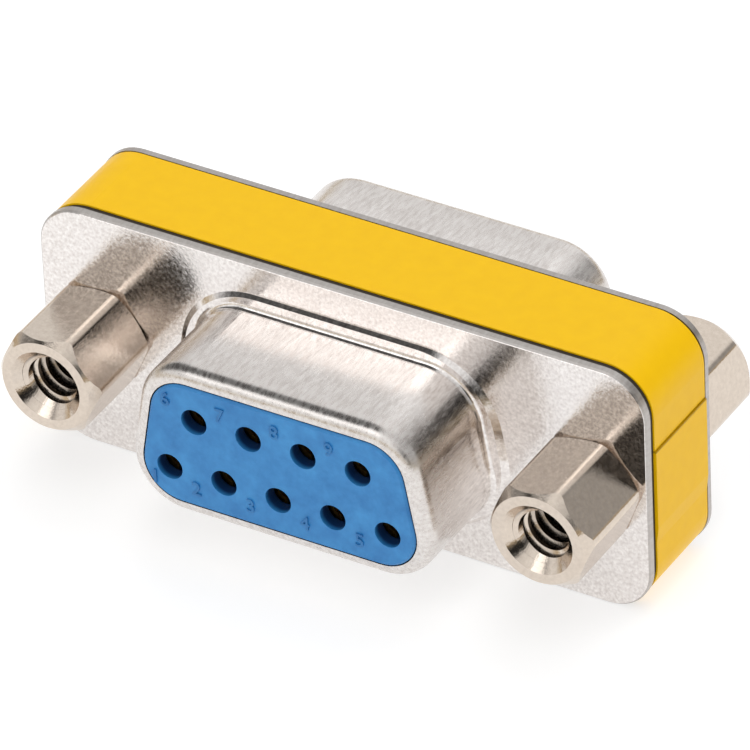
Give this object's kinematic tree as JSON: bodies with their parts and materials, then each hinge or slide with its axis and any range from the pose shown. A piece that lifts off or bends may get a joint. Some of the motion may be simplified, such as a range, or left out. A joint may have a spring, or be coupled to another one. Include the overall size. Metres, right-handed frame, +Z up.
{
  "type": "d-sub gender changer",
  "caption": "Double-ended D connector adaptor, socket to socket, with flanged steel shells, a film-wrapped middle and hexagon screwlocks on both faces.",
  "frame": {"origin": "middle of the part: the middle plane of the spacer frame, on the centre line of both sockets", "axes": "+X along the flanges, to the right seen from the front socket, +Y from the front socket face to the rear one, +Z up"},
  "size_m": [0.0309, 0.017, 0.0126],
  "materials": {
    "tinned_steel": "drawn sheet steel, matt bright tin plate",
    "nickel_plate": "machined steel, bright nickel plate",
    "blue_insulator": "moulded glass-filled polyester, satin",
    "black_frame": "moulded ABS, fine matt",
    "yellow_film": "printed vinyl film, semi-gloss",
    "contact_bronze": "phosphor bronze, flash gold plate",
    "plain_brass": "turned brass"
  },
  "bodies": {
    "root": {"front_shell": "tinned_steel", "rear_shell": "tinned_steel", "front_insulator": "blue_insulator", "rear_insulator": "blue_insulator", "spacer_frame": "black_frame", "wrap_film": "yellow_film", "left_threaded_spacer": "plain_brass", "right_threaded_spacer": "plain_brass", "front_left_screwlock": "nickel_plate", "front_right_screwlock": "nickel_plate", "rear_left_screwlock": "nickel_plate", "rear_right_screwlock": "nickel_plate", "contact_1": "contact_bronze", "contact_2": "contact_bronze", "contact_3": "contact_bronze", "contact_4": "contact_bronze", "contact_5": "contact_bronze", "contact_6": "contact_bronze", "contact_7": "contact_bronze", "contact_8": "contact_bronze", "contact_9": "contact_bronze"}
  },
  "joints": []
}
